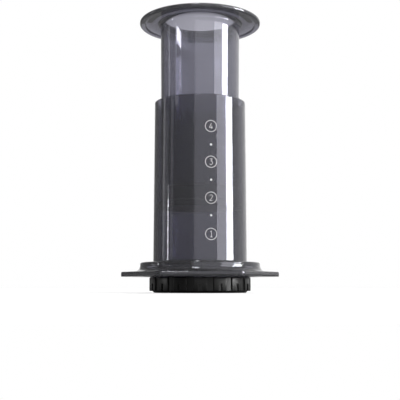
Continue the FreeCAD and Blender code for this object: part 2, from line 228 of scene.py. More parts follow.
def chamber_section(angle):
    """The chamber's section at an angle: up the bore, over the rim, down to the flange and round its
    edge, up into the hollow under the ring, and down the neck."""
    upper = [
        (NECK_FLAT_INNER, NECK_END, 0),
        (BORE, NECK_END, EDGE_ROUND),
        (BORE, CHAMBER_RIM, EDGE_ROUND),
        (RIM_OUTSIDE, CHAMBER_RIM, EDGE_ROUND),
        (TUBE_FOOT, RING_TOP, RING_ROUND),
        (RING_OUTSIDE, RING_TOP, RING_ROUND),
        (RING_OUTSIDE, PLATE_TOP, RING_FILLET),
        (FILLET_FOOT, PLATE_TOP, 0),
    ]
    edge = [(FLANGE_TOP_FLAT, PLATE_TOP)]
    edge += reversed(list(flange_round(FLANGE_TOP_ROUND, True)))
    edge += flange_round(FLANGE_LOW_ROUND, False)
    edge.append((FLANGE_LOW_FLAT, PLATE_LOW))
    hollow = [
        (HOLLOW_FLAT, PLATE_LOW, 0),
        (HOLLOW_OUTSIDE, PLATE_LOW, SLIGHT_ROUND),
        (HOLLOW_OUTSIDE, HOLLOW_CEILING, EDGE_ROUND),
        (NECK_OUTSIDE, HOLLOW_CEILING, SLIGHT_ROUND),
        (NECK_OUTSIDE, NECK_ROOT, 0),
    ]
    neck = [
        (NECK_OUTSIDE, NECK_ROUND_START, 0),
        (NECK_OUTSIDE, NECK_END, EDGE_ROUND),
        (NECK_FLAT_OUTER, NECK_END, 0),
    ]
    points = eased(upper)
    points += [(flange_edge(angle, inset), height) for inset, height in edge]
    points += eased(hollow) + neck_lug(angle) + eased(neck)
    return points


chamber = swept("chamber_moulding", flange_angles(), chamber_section)
soften(chamber)


def placed_node(tree, kind, values=None, wires=None, operation=None):
    """A new node in a tree, with values set on its sockets and other nodes' outputs wired to them."""
    made = tree.nodes.new(kind)
    if operation:
        made.operation = operation
    for socket, value in (values or {}).items():
        made.inputs[socket].default_value = value
    for socket, source in (wires or {}).items():
        tree.links.new(source, made.inputs[socket])
    return made


def reckoned(tree, operation, *terms, clamp=False):
    """The result of a Math node, whose terms are numbers or other nodes' outputs."""
    made = tree.nodes.new("ShaderNodeMath")
    made.operation = operation
    made.use_clamp = clamp
    for socket, term in zip(made.inputs, terms):
        if isinstance(term, (int, float)):
            socket.default_value = term
        else:
            tree.links.new(term, socket)
    return made.outputs["Value"]


def shader_group(name, inputs, outputs):
    """A node group with the named inputs and outputs, each a socket kind and a starting value."""
    tree = bpy.data.node_groups.new(name, "ShaderNodeTree")
    for label, kind, start in inputs:
        made = tree.interface.new_socket(label, in_out="INPUT", socket_type=kind)
        made.default_value = start
    for label, kind in outputs:
        tree.interface.new_socket(label, in_out="OUTPUT", socket_type=kind)
    return tree, tree.nodes.new("NodeGroupInput"), tree.nodes.new("NodeGroupOutput")


HAIRLINE_STRETCH = (900.0, 900.0, 60.0)
HAIRLINE_TURN = (0.0, 0.35, 0.2)
HAIRLINE_START = 0.66
HAIRLINE_FULL = 0.74
HAIRLINE_DEPTH = -0.5


def handled_surface():
    """Small differences in polish, hairline scratches and a faint unevenness from the mould."""
    inputs = [
        ("Roughness", "NodeSocketFloat", 0.05),
        ("Unevenness", "NodeSocketFloat", 0.03),
        ("Scratches", "NodeSocketFloat", 0.1),
        ("Patch Scale", "NodeSocketFloat", 45.0),
    ]
    outputs = [("Roughness", "NodeSocketFloat"), ("Height", "NodeSocketFloat")]
    tree, given, result = shader_group("handled surface", inputs, outputs)
    place = tree.nodes.new("ShaderNodeTexCoord").outputs["Object"]
    patch_wires = {"Vector": place, "Scale": given.outputs["Patch Scale"]}
    patches = placed_node(tree, "ShaderNodeTexNoise", {"Detail": 4.0}, patch_wires)
    stretch_values = {"Scale": HAIRLINE_STRETCH, "Rotation": HAIRLINE_TURN}
    stretch = placed_node(tree, "ShaderNodeMapping", stretch_values, {"Vector": place})
    hair_wires = {"Vector": stretch.outputs["Vector"]}
    hairs = placed_node(tree, "ShaderNodeTexNoise", {"Scale": 1.0, "Detail": 2.0}, hair_wires)
    line_values = {"From Min": HAIRLINE_START, "From Max": HAIRLINE_FULL}
    lines = placed_node(tree, "ShaderNodeMapRange", line_values, {"Value": hairs.outputs["Fac"]})
    scratched = reckoned(tree, "MULTIPLY", lines.outputs["Result"], given.outputs["Scratches"])
    uneven = reckoned(tree, "MULTIPLY", patches.outputs["Fac"], given.outputs["Unevenness"])
    both = reckoned(tree, "ADD", scratched, uneven)
    total = reckoned(tree, "ADD", both, given.outputs["Roughness"], clamp=True)
    height = reckoned(tree, "MULTIPLY_ADD", scratched, HAIRLINE_DEPTH, patches.outputs["Fac"])
    tree.links.new(total, result.inputs["Roughness"])
    tree.links.new(height, result.inputs["Height"])
    return tree


surface_wear = handled_surface()


def new_material(name):
    """A new material, with its shader and its output."""
    made = bpy.data.materials.new(name)
    made.use_nodes = True
    return made, made.node_tree.nodes["Principled BSDF"], made.node_tree.nodes["Material Output"]


def add_wear(made, shader, roughness, unevenness, scratches, patch_scale, depth):
    """Place the handled surface in a material, with the material's own amounts."""
    tree = made.node_tree
    wear = tree.nodes.new("ShaderNodeGroup")
    wear.node_tree = surface_wear
    wear.inputs["Roughness"].default_value = roughness
    wear.inputs["Unevenness"].default_value = unevenness
    wear.inputs["Scratches"].default_value = scratches
    wear.inputs["Patch Scale"].default_value = patch_scale
    tree.links.new(wear.outputs["Roughness"], shader.inputs["Roughness"])
    bump_values = {"Strength": 1.0, "Distance": depth}
    bump = placed_node(tree, "ShaderNodeBump", bump_values, {"Height": wear.outputs["Height"]})
    tree.links.new(bump.outputs["Normal"], shader.inputs["Normal"])


def smoke_plastic(name, clear, density):
    """Clear copolyester with a smoke-grey tint that deepens with the thickness of the wall. Clear is
    the share of light that enters its surface, and the rest is scattered back there."""
    made, shader, output = new_material(name)
    shader.inputs["Base Color"].default_value = (0.80, 0.80, 0.86, 1.0)
    shader.inputs["IOR"].default_value = 1.55
    shader.inputs["Metallic"].default_value = 0.0
    shader.inputs["Transmission Weight"].default_value = clear
    shader.inputs["Specular Tint"].default_value = (0.9, 0.9, 1.0, 1.0)
    add_wear(made, shader, 0.008, 0.008, 0.02, 45.0, 0.000001)
    smoke = made.node_tree.nodes.new("ShaderNodeVolumeAbsorption")
    smoke.inputs["Color"].default_value = (0.20, 0.19, 0.275, 1.0)
    smoke.inputs["Density"].default_value = density
    made.node_tree.links.new(smoke.outputs["Volume"], output.inputs["Volume"])
    return made


chamber.data.materials.append(smoke_plastic("smoke chamber plastic", 0.948, 795.0))
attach(chamber, "chamber")
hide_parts("chamber")


# The measuring scale is printed on the chamber in white ink: a number in a ring for each measure,
# and a dot half-way between two. It faces the front, a little to the right, and its film of ink
# follows the tube as that narrows.
SCALE_TURN = math.radians(13.2)
MEASURE_HEIGHTS = {1: 38.6, 2: 62.5, 3: 86.4, 4: 110.3}
HALF_MEASURE_HEIGHTS = (50.9, 74.4, 97.9)
RING_RADIUS = 3.8
RING_LINE = 0.34
RING_SIDES = 72
DOT_RADIUS = 0.75
DOT_SIDES = 24
DIGIT_LINE = 0.28
SHARPEST_MITRE = 0.5
INK_GAP = 0.012
INK_DEPTH = 0.03


def arc(across, up, radius, start, end, steps=14):
    """Points along an arc, from one angle in degrees to another."""
    found = []
    for step in range(steps + 1):
        angle = math.radians(start + (end - start) * step / steps)
        found.append((across + radius * math.cos(angle), up + radius * math.sin(angle)))
    return found


def whole_ring(radius, sides):
    """Points once round a ring, without the first again at the end."""
    return arc(0, 0, radius, 0, 360 - 360 / sides, sides - 1)


DIGITS = {
    1: [[(-0.7, 1.25), (0.1, 1.95), (0.1, -1.95)], [(-0.75, -1.95), (0.95, -1.95)]],
    2: [arc(0, 0.95, 0.95, 165, -35) + [(-1.05, -1.9), (1.1, -1.9)]],
    3: [[(-0.9, 1.95), (0.95, 1.95), (-0.1, 0.55)] + arc(-0.05, -0.75, 1.15, 80, -150)],
    4: [[(0.35, 1.95), (-1.15, -0.9), (1.2, -0.9)], [(0.55, 0.45), (0.55, -1.95)]],
}


def ink_line(path, width, whole=False):
    """Left and right edges of a line of ink along a path, which may close on itself."""
    edges = []
    for number, here in enumerate(path):
        before = path[number - 1] if whole or number else here
        after = path[(number + 1) % len(path)] if whole or number + 1 < len(path) else here
        back = Vector(here) - Vector(before)
        on = Vector(after) - Vector(here)
        back = back.normalized() if back.length else on.normalized()
        on = on.normalized() if on.length else back
        along = (back + on).normalized()
        side = Vector((-along.y, along.x)) * (width / 2 / max(SHARPEST_MITRE, along.dot(on)))
        edges.append((Vector(here) - side, Vector(here) + side))
    return edges


def on_chamber(place, height, lift):
    """A flat point of the print, wrapped on the tube that narrows towards its rim."""
    up = height + place[1]
    share = (up - RING_TOP) / (CHAMBER_RIM - RING_TOP)
    radius = TUBE_FOOT + (RIM_OUTSIDE - TUBE_FOOT) * share + lift
    angle = SCALE_TURN + place[0] / radius
    return (radius * math.sin(angle) * MM, -radius * math.cos(angle) * MM, up * MM)


def print_line(form, path, width, height, whole=False):
    """A line of ink with its thickness, as a closed form of four sides."""
    rows = []
    for left, right in ink_line(path, width, whole):
        low = [form.verts.new(on_chamber(side, height, INK_GAP)) for side in (left, right)]
        high = [form.verts.new(on_chamber(side, height, INK_GAP + INK_DEPTH)) for side in (right, left)]
        rows.append(low + high)
    pairs = list(zip(rows, rows[1:] + rows[:1])) if whole else list(zip(rows, rows[1:]))
    for here, following in pairs:
        for corner in range(4):
            after = (corner + 1) % 4
            form.faces.new((here[corner], following[corner], following[after], here[after]))
    if not whole:
        form.faces.new(rows[0])
        form.faces.new(rows[-1])


def print_dot(form, radius, height):
    """A round dot of ink with its thickness."""
    sides = []
    for lift in (INK_GAP, INK_GAP + INK_DEPTH):
        edge = whole_ring(radius, DOT_SIDES)
        sides.append([form.verts.new(on_chamber(place, height, lift)) for place in edge])
    low, high = sides
    form.faces.new(low)
    form.faces.new(high)
    for number in range(len(low)):
        after = (number + 1) % len(low)
        form.faces.new((low[number], low[after], high[after], high[number]))


ink = bmesh.new()
for number, height in MEASURE_HEIGHTS.items():
    print_line(ink, whole_ring(RING_RADIUS, RING_SIDES), RING_LINE, height, whole=True)
    for stroke in DIGITS[number]:
        print_line(ink, stroke, DIGIT_LINE, height)
for height in HALF_MEASURE_HEIGHTS:
    print_dot(ink, DOT_RADIUS, height)
bmesh.ops.recalc_face_normals(ink, faces=ink.faces)
scale_mesh = bpy.data.meshes.new("measuring_scale")
ink.to_mesh(scale_mesh)
ink.free()
measuring_scale = bpy.data.objects.new("measuring_scale", scale_mesh)
bpy.context.scene.collection.objects.link(measuring_scale)
soften(measuring_scale)

MIX_SHARE = 0
MIX_FIRST_COLOUR = 6
MIX_SECOND_COLOUR = 7
MIX_COLOUR = 2


def two_tones(tree, share, first, second):
    """A colour that goes from a first tone to a second one with a share."""
    tones = {MIX_FIRST_COLOUR: (*first, 1.0), MIX_SECOND_COLOUR: (*second, 1.0)}
    mix = placed_node(tree, "ShaderNodeMix", tones, {MIX_SHARE: share})
    mix.data_type = "RGBA"
    return mix.outputs[MIX_COLOUR]


def mottled(made, shader, scale, first, second, detail=2.0, distortion=0.0):
    """Let a material drift between two tones, and give back the noise that it follows."""
    tree = made.node_tree
    place = tree.nodes.new("ShaderNodeTexCoord").outputs["Object"]
    noise_values = {"Scale": scale, "Detail": detail, "Distortion": distortion}
    noise = placed_node(tree, "ShaderNodeTexNoise", noise_values, {"Vector": place}).outputs["Fac"]
    tree.links.new(two_tones(tree, noise, first, second), shader.inputs["Base Color"])
    return noise


white_ink, ink_shader, _ = new_material("white ink")
mottled(white_ink, ink_shader, 1800.0, (0.80, 0.80, 0.82), (0.93, 0.93, 0.95))
add_wear(white_ink, ink_shader, 0.5, 0.15, 0.1, 900.0, 0.000005)
measuring_scale.data.materials.append(white_ink)
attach(measuring_scale, "chamber")


# The plunger is a second clear moulding: an open tube with a broad round flange for the hand, its
# edge turned down, and a closed knob at the bottom that the seal is stretched over.
KNOB_LOW = 62.2
KNOB_FLOOR = KNOB_LOW + 2.0
KNOB_TOP = KNOB_LOW + 6.0
KNOB_RADIUS = 23.95
KNOB_BEVEL = 1.4
KNOB_NECK = 21.75
SHOULDER = KNOB_LOW + 9.7
PLUNGER_FOOT = 26.8
PLUNGER_TOP_RADIUS = 27.75
PLUNGER_WALL = 1.9
PLUNGER_TOP = 192.4
FLANGE_RADIUS = PLUNGER_TOP_RADIUS + 14.65
FLANGE_UNDER = PLUNGER_TOP - 3.95
FLANGE_FILLET = 2.8
LIP_INSIDE = FLANGE_RADIUS - 3.6
LIP_DROP = 1.0
LIP_ROUND = 1.3
DOME_START = PLUNGER_TOP_RADIUS + 4.75
DOME_ROUND = 9.3
DOME_FALL = 2.3
ROUND_SIDES = 192


def circle_of(count):
    """Angles spread evenly round a whole turn."""
    return [2 * math.pi * step / count for step in range(count)]


plunger_section = eased([
    (0, KNOB_LOW, 0),
    (KNOB_RADIUS - KNOB_BEVEL, KNOB_LOW, SLIGHT_ROUND),
    (KNOB_RADIUS, KNOB_LOW + KNOB_BEVEL, SLIGHT_ROUND),
    (KNOB_RADIUS, KNOB_TOP, SLIGHT_ROUND),
    (KNOB_NECK, KNOB_TOP, SLIGHT_ROUND),
    (KNOB_NECK, SHOULDER, SLIGHT_ROUND),
    (PLUNGER_FOOT, SHOULDER, EDGE_ROUND),
    (PLUNGER_TOP_RADIUS, FLANGE_UNDER, FLANGE_FILLET),
    (LIP_INSIDE - LIP_DROP, FLANGE_UNDER, EDGE_ROUND),
    (LIP_INSIDE, FLANGE_UNDER - LIP_DROP, EDGE_ROUND),
    (FLANGE_RADIUS, FLANGE_UNDER - LIP_DROP, LIP_ROUND),
    (FLANGE_RADIUS, PLUNGER_TOP - DOME_FALL, LIP_ROUND),
    (DOME_START, PLUNGER_TOP, DOME_ROUND),
    (PLUNGER_TOP_RADIUS - PLUNGER_WALL, PLUNGER_TOP, EDGE_ROUND),
    (PLUNGER_FOOT - PLUNGER_WALL, SHOULDER + PLUNGER_WALL, EDGE_ROUND),
    (KNOB_NECK - PLUNGER_WALL, SHOULDER + PLUNGER_WALL, EDGE_ROUND),
    (KNOB_NECK - PLUNGER_WALL, KNOB_FLOOR, EDGE_ROUND),
    (0, KNOB_FLOOR, 0),
])
plunger = swept("plunger_moulding", circle_of(ROUND_SIDES), lambda angle: plunger_section, closed=False)
soften(plunger)
plunger.data.materials.append(smoke_plastic("smoke plunger plastic", 0.91, 500.0))
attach(plunger, "plunger")
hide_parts("plunger_tube")


# The seal is moulded in dark rubber. Its bottom lip wipes the bore, a tapering band stands above it,
# and its collar grips the neck behind the plunger's knob.
SEAL_LOW = 57.75
SEAL_TOP = SEAL_LOW + 14.0
SEAL_RADIUS = 29.62
SEAL_ROUND = 0.4
LIP_TOP = SEAL_LOW + 1.6
BAND_TOP = SEAL_LOW + 4.2
BAND_RADIUS = SEAL_RADIUS - 0.8
SLEEVE_FOOT = SEAL_LOW + 5.2
SLEEVE_RADIUS = 26.55
SOCKET_GAP = 0.15
SOCKET_FLOOR = SEAL_LOW + 4.3
COLLAR_LOW = SEAL_LOW + 10.6
COLLAR_ROUND = 0.2

seal_section = eased([
    (0, SEAL_LOW, 0),
    (SEAL_RADIUS, SEAL_LOW, SEAL_ROUND),
    (SEAL_RADIUS, LIP_TOP, SLIGHT_ROUND),
    (BAND_RADIUS, BAND_TOP, SEAL_ROUND),
    (SLEEVE_RADIUS, SLEEVE_FOOT, SLIGHT_ROUND),
    (SLEEVE_RADIUS, SEAL_TOP, SEAL_ROUND),
    (KNOB_NECK + SOCKET_GAP, SEAL_TOP, SEAL_ROUND),
    (KNOB_NECK + SOCKET_GAP, COLLAR_LOW, COLLAR_ROUND),
    (KNOB_RADIUS + SOCKET_GAP, COLLAR_LOW, COLLAR_ROUND),
    (KNOB_RADIUS + SOCKET_GAP, SOCKET_FLOOR, SLIGHT_ROUND),
    (0, SOCKET_FLOOR, 0),
])
seal = swept("seal_moulding", circle_of(ROUND_SIDES), lambda angle: seal_section, closed=False)
soften(seal)
rubber, rubber_shader, _ = new_material("dark seal rubber")
mottled(rubber, rubber_shader, 130.0, (0.036, 0.036, 0.046), (0.06, 0.06, 0.074), detail=6.0)
rubber_shader.inputs["Transmission Weight"].default_value = 0.35
rubber_shader.inputs["Sheen Weight"].default_value = 0.15
add_wear(rubber, rubber_shader, 0.42, 0.2, 0.1, 220.0, 0.00005)
seal.data.materials.append(rubber)
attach(seal, "seal")
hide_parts("plunger_seal")


# The filter cap is moulded in black plastic: a cup with sixteen grip pads round its skirt, each
# notched at its lower edge, six lugs inside that ride on the neck's, and a floor with rings of
# drain holes.
CAP_TOP = 10.6
CAP_RADIUS = 34.85
CAP_BORE = 33.2
CAP_FLOOR = 2.2
CAP_FOOT = 31.6
CAP_SHOULDER = 1.2
SHOULDER_RADIUS = 32.8
SKIRT_RADIUS = 34.05
SKIRT_TOP_ROUND = 0.2
CAP_MOUTH_ROUND = 0.4
FLOOR_RADIUS = 29.4
FLOOR_JOINT_ROUND = 0.05
PAD_COUNT = 16
PAD_SPAN = 7.6
PAD_ROOT = 33.7
PAD_END = 0.35
PAD_END_DRAW = 0.2
PAD_LIFT = 0.02
PAD_LOW_ROUND = 0.5
PAD_LOW_STEPS = 4
PAD_TOP_ROUND = 0.9
PAD_TOP_STEPS = 6
NOTCH_SPAN = 2.14
NOTCH_TOP = 6.2
NOTCH_FACE = 33.75
NOTCH_LEDGE = 0.03
HAIR = 0.001
CAP_LUG_LOW = 5.793
CAP_LUG_SPAN = 20.0
CAP_LUG_STEPS = 10
CAP_LUG_CREST = 31.9
CAP_LUG_ROOT = CAP_BORE + 0.3
DRAIN_RADIUS = 1.05
DRAIN_PITCH = 5.2
DRAIN_RINGS = 5
DRAIN_SIDES = 20
FLOOR_SIDES = 144
FLOOR_OVERLAP = 0.4
FLOOR_SINK = 0.02
WELD = 0.000001

shell_section = eased([
    (FLOOR_RADIUS, 0, FLOOR_JOINT_ROUND),
    (CAP_FOOT, 0, EDGE_ROUND),
    (SHOULDER_RADIUS, CAP_SHOULDER, SLIGHT_ROUND),
    (SKIRT_RADIUS, CAP_SHOULDER, SLIGHT_ROUND),
    (SKIRT_RADIUS, CAP_TOP, SKIRT_TOP_ROUND),
    (CAP_BORE, CAP_TOP, CAP_MOUTH_ROUND),
    (CAP_BORE, CAP_FLOOR, SLIGHT_ROUND),
    (FLOOR_RADIUS, CAP_FLOOR, FLOOR_JOINT_ROUND),
], closed=True)
cap_shell = swept("cap_shell", circle_of(ROUND_SIDES), lambda angle: shell_section)


def pad_section(angle):
    """One grip pad's section. Its ends draw in, and its middle has the notch. Each low point lies a
    hair above the one before, so that no two meet in the notch."""
    degrees = abs(math.degrees(angle))
    end = max(0.0, degrees - (PAD_SPAN - PAD_END)) / PAD_END
    crest = CAP_RADIUS - PAD_END_DRAW * (1 - math.sqrt(max(0.0, 1 - end**2)))
    notched = degrees < NOTCH_SPAN
    points = [(PAD_ROOT, CAP_SHOULDER + PAD_LIFT)]
    for step in range(PAD_LOW_STEPS + 1):
        turn = math.pi / 2 * step / PAD_LOW_STEPS
        rounded = crest - PAD_LOW_ROUND * (1 - math.sin(turn))
        rise = PAD_LOW_ROUND * (1 - math.cos(turn)) + HAIR * (step + 1)
        points.append((NOTCH_FACE if notched else rounded, CAP_SHOULDER + rise))
    points.append((NOTCH_FACE if notched else crest, NOTCH_TOP - NOTCH_LEDGE))
    points.append((crest, NOTCH_TOP))
    for step in range(PAD_TOP_STEPS + 1):
        turn = math.pi / 2 * step / PAD_TOP_STEPS
        inset = PAD_TOP_ROUND * (1 - math.cos(turn))
        drop = PAD_TOP_ROUND * (1 - math.sin(turn))
        points.append((crest - inset, CAP_TOP - drop))
    points.append((PAD_ROOT, CAP_TOP - HAIR))
    return points


# Degrees from a pad's middle, closer together at its end and on each side of the notch's wall.
notch_wall = [-NOTCH_SPAN - 0.02, -NOTCH_SPAN + 0.01]
half_pad = [-PAD_SPAN, -7.55, -7.45, -7.25, -6, -4.5, -3] + notch_wall + [-1, 0]
whole_pad = half_pad + [-mark for mark in reversed(half_pad[:-1])]
grip_pad = swept("grip_pad", [math.radians(mark) for mark in whole_pad], pad_section, full=False)


def cap_lug_section(angle):
    """The section of one of the cap's lugs, which climbs with the neck's."""
    low = CAP_LUG_LOW + LUG_LEAD * (math.degrees(angle) + CAP_LUG_SPAN / 2) / 360
    return [
        (CAP_LUG_ROOT, low),
        (CAP_LUG_CREST, low + LUG_BEVEL),
        (CAP_LUG_CREST, low + LUG_THICK - LUG_BEVEL),
        (CAP_LUG_ROOT, low + LUG_THICK),
    ]


lug_shares = [step / CAP_LUG_STEPS - 0.5 for step in range(CAP_LUG_STEPS + 1)]
lug_angles = [math.radians(CAP_LUG_SPAN * share) for share in lug_shares]
cap_lug = swept("cap_lug", lug_angles, cap_lug_section, full=False)


def cap_tree():
    """The cap's rule: copies of the pad and of the lug round the axis, and the drilled floor."""
    tree = bpy.data.node_groups.new("filter cap", "GeometryNodeTree")
    tree.is_modifier = True
    sockets = [
        ("Shell", "NodeSocketGeometry"),
        ("Pad", "NodeSocketObject"),
        ("Pad Count", "NodeSocketInt"),
        ("Lug", "NodeSocketObject"),
        ("Lug Count", "NodeSocketInt"),
        ("Hole Radius", "NodeSocketFloat"),
        ("Hole Pitch", "NodeSocketFloat"),
        ("Hole Rings", "NodeSocketInt"),
        ("Floor Radius", "NodeSocketFloat"),
        ("Floor Thickness", "NodeSocketFloat"),
        ("Material", "NodeSocketMaterial"),
    ]
    for label, kind in sockets:
        tree.interface.new_socket(label, in_out="INPUT", socket_type=kind)
    tree.interface.new_socket("Cap", in_out="OUTPUT", socket_type="NodeSocketGeometry")
    given = tree.nodes.new("NodeGroupInput").outputs
    result = tree.nodes.new("NodeGroupOutput")
    index = tree.nodes.new("GeometryNodeInputIndex").outputs["Index"]
    join = placed_node(tree, "GeometryNodeJoinGeometry", wires={"Geometry": given["Shell"]})

    def number(operation, *terms):
        """A reckoned number in the cap's own tree."""
        return reckoned(tree, operation, *terms)

    def copies(piece, count):
        """Copies of a piece, spread evenly round the axis."""
        points = placed_node(tree, "GeometryNodePoints", wires={"Count": given[count]})
        source = placed_node(tree, "GeometryNodeObjectInfo", wires={"Object": given[piece]})
        turn = number("DIVIDE", number("MULTIPLY", index, 2 * math.pi), given[count])
        spin = placed_node(tree, "ShaderNodeCombineXYZ", wires={"Z": turn})
        place = placed_node(tree, "GeometryNodeInstanceOnPoints", wires={
            "Points": points.outputs["Points"],
            "Instance": source.outputs["Geometry"],
            "Rotation": spin.outputs["Vector"],
        })
        tree.links.new(place.outputs["Instances"], join.inputs["Geometry"])

    copies("Pad", "Pad Count")
    copies("Lug", "Lug Count")

    # The drain holes: one in the middle, and six times a ring's number in each ring, so 3n(n + 1) + 1
    # up to ring n. A hole's ring is that rule solved for its index. The 8.999 stands for 9, so that
    # rounding up can't move a ring's last hole into the next ring.
    rings = given["Hole Rings"]
    holes = number("ADD", number("MULTIPLY", number("MULTIPLY", rings, 3), number("ADD", rings, 1)), 1)
    root = number("SQRT", number("ADD", number("MULTIPLY", index, 12), 8.999))
    ring = number("CEIL", number("DIVIDE", number("SUBTRACT", root, 3), 6))
    before = number("ADD", number("MULTIPLY", number("MULTIPLY", ring, 3), number("SUBTRACT", ring, 1)), 1)
    in_ring = number("MAXIMUM", number("MULTIPLY", ring, 6), 1)
    turn = number("DIVIDE", number("MULTIPLY", number("SUBTRACT", index, before), 2 * math.pi), in_ring)
    out = number("MULTIPLY", ring, given["Hole Pitch"])
    spot = placed_node(tree, "ShaderNodeCombineXYZ", wires={
        "X": number("MULTIPLY", out, number("COSINE", turn)),
        "Y": number("MULTIPLY", out, number("SINE", turn)),
    })
    spot_wires = {"Count": holes, "Position": spot.outputs["Vector"]}
    points = placed_node(tree, "GeometryNodePoints", wires=spot_wires)
    hole_values = {"Resolution": DRAIN_SIDES}
    hole_wires = {"Radius": given["Hole Radius"]}
    hole = placed_node(tree, "GeometryNodeCurvePrimitiveCircle", hole_values, hole_wires)
    drilled_wires = {"Points": points.outputs["Points"], "Instance": hole.outputs["Curve"]}
    drilled = placed_node(tree, "GeometryNodeInstanceOnPoints", wires=drilled_wires)
    loose_wires = {"Geometry": drilled.outputs["Instances"]}
    loose = placed_node(tree, "GeometryNodeRealizeInstances", wires=loose_wires)

    # The floor: its rim's circle with the holes' circles in it, filled, given its thickness and
    # closed below.
    rim_values = {"Resolution": FLOOR_SIDES}
    rim_wires = {"Radius": given["Floor Radius"]}
    rim = placed_node(tree, "GeometryNodeCurvePrimitiveCircle", rim_values, rim_wires)
    circles = placed_node(tree, "GeometryNodeJoinGeometry", wires={"Geometry": rim.outputs["Curve"]})
    tree.links.new(loose.outputs["Geometry"], circles.inputs["Geometry"])
    fill = placed_node(tree, "GeometryNodeFillCurve", wires={"Curve": circles.outputs["Geometry"]})
    rise_wires = {"Mesh": fill.outputs["Mesh"], "Offset Scale": given["Floor Thickness"]}
    rise = placed_node(tree, "GeometryNodeExtrudeMesh", {"Individual": False}, rise_wires)
    flip = placed_node(tree, "GeometryNodeFlipFaces", wires={"Mesh": fill.outputs["Mesh"]})
    sides = placed_node(tree, "GeometryNodeJoinGeometry", wires={"Geometry": rise.outputs["Mesh"]})
    tree.links.new(flip.outputs["Mesh"], sides.inputs["Geometry"])
    weld_wires = {"Geometry": sides.outputs["Geometry"]}
    welded = placed_node(tree, "GeometryNodeMergeByDistance", {"Distance": WELD}, weld_wires)
    lift_values = {"Translation": (0.0, 0.0, FLOOR_SINK * MM)}
    lift_wires = {"Geometry": welded.outputs["Geometry"]}
    lift = placed_node(tree, "GeometryNodeTransform", lift_values, lift_wires)
    tree.links.new(lift.outputs["Geometry"], join.inputs["Geometry"])

    real_wires = {"Geometry": join.outputs["Geometry"]}
    real = placed_node(tree, "GeometryNodeRealizeInstances", wires=real_wires)
    finish_wires = {"Geometry": real.outputs["Geometry"], "Material": given["Material"]}
    finish = placed_node(tree, "GeometryNodeSetMaterial", wires=finish_wires)
    tree.links.new(finish.outputs["Geometry"], result.inputs["Cap"])
    return tree


black_plastic, black_shader, _ = new_material("black cap plastic")
mottled(black_plastic, black_shader, 90.0, (0.001, 0.001, 0.001), (0.0025, 0.0025, 0.0025), detail=5.0)
black_shader.inputs["Specular IOR Level"].default_value = 0.3
add_wear(black_plastic, black_shader, 0.26, 0.08, 0.1, 160.0, 0.00001)

cap_rule = cap_shell.modifiers.new("cap rule", "NODES")
cap_rule.node_group = cap_tree()
cap_values = {
    "Pad": grip_pad,
    "Pad Count": PAD_COUNT,
    "Lug": cap_lug,
    "Lug Count": FLANGE_CORNERS,
    "Hole Radius": DRAIN_RADIUS * MM,
    "Hole Pitch": DRAIN_PITCH * MM,
    "Hole Rings": DRAIN_RINGS,
    "Floor Radius": (FLOOR_RADIUS + FLOOR_OVERLAP) * MM,
    "Floor Thickness": (CAP_FLOOR - 2 * FLOOR_SINK) * MM,
    "Material": black_plastic,
}
for socket in cap_rule.node_group.interface.items_tree:
    if socket.in_out == "INPUT" and socket.name in cap_values:
        cap_rule[socket.identifier] = cap_values[socket.name]
bpy.context.view_layer.update()
evaluated = cap_shell.evaluated_get(bpy.context.evaluated_depsgraph_get())
cap_mesh = bpy.data.meshes.new_from_object(evaluated)
filter_cap = bpy.data.objects.new("filter_cap_moulding", cap_mesh)
bpy.context.scene.collection.objects.link(filter_cap)
for helper in (cap_shell, grip_pad, cap_lug):
    bpy.data.objects.remove(helper)
soften(filter_cap)
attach(filter_cap, "cap")
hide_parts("filter_cap")


# The paper filter is a thin disc of white crepe paper that lies in the cap under the neck's end. The
# packed disc is kept and gets the paper's fibres.
paper, paper_shader, _ = new_material("white filter paper")
paper_tones = ((0.72, 0.70, 0.65), (0.86, 0.85, 0.81))
fibres = mottled(paper, paper_shader, 1500.0, *paper_tones, detail=8.0, distortion=1.5)
crepe = placed_node(paper.node_tree, "ShaderNodeBump", {"Distance": 0.00006}, {"Height": fibres})
paper.node_tree.links.new(crepe.outputs["Normal"], paper_shader.inputs["Normal"])
paper_shader.inputs["Roughness"].default_value = 0.9
paper_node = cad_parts["paper_filter"]
paper_node.data.materials.clear()
paper_node.data.materials.append(paper)


# The set's floor is plain and white and keeps the soft shadow. It shows a little brighter to the
# camera and through the smoke plastic than it lights the press, and a little darker in reflections.
FLOOR_HALF = 4.0
FLOOR_HEIGHT = -0.0002
FLOOR_TONE = (0.8, 0.8, 0.8)
FLOOR_TONE_MIRRORED = (0.55, 0.55, 0.55)
FLOOR_GLOW = 0.55

floor_corners = [(-FLOOR_HALF, -FLOOR_HALF, 0), (FLOOR_HALF, -FLOOR_HALF, 0)]
floor_corners += [(FLOOR_HALF, FLOOR_HALF, 0), (-FLOOR_HALF, FLOOR_HALF, 0)]
floor_mesh = bpy.data.meshes.new("floor")
floor_mesh.from_pydata(floor_corners, [], [(0, 1, 2, 3)])
floor = bpy.data.objects.new("floor", floor_mesh)
floor.location.z = FLOOR_HEIGHT
bpy.context.scene.collection.objects.link(floor)
floor_white, floor_shader, floor_output = new_material("floor white")
floor_tree = floor_white.node_tree
floor_rays = floor_tree.nodes.new("ShaderNodeLightPath").outputs
floor_tone = two_tones(floor_tree, floor_rays["Is Glossy Ray"], FLOOR_TONE, FLOOR_TONE_MIRRORED)
floor_tree.links.new(floor_tone, floor_shader.inputs["Base Color"])
floor_shader.inputs["Roughness"].default_value = 0.9
floor_seen = reckoned(
    floor_tree, "MAXIMUM", floor_rays["Is Camera Ray"], floor_rays["Is Transmission Ray"]
)
floor_level = reckoned(floor_tree, "MULTIPLY", floor_seen, FLOOR_GLOW)
floor_glow = placed_node(floor_tree, "ShaderNodeEmission", wires={"Strength": floor_level})
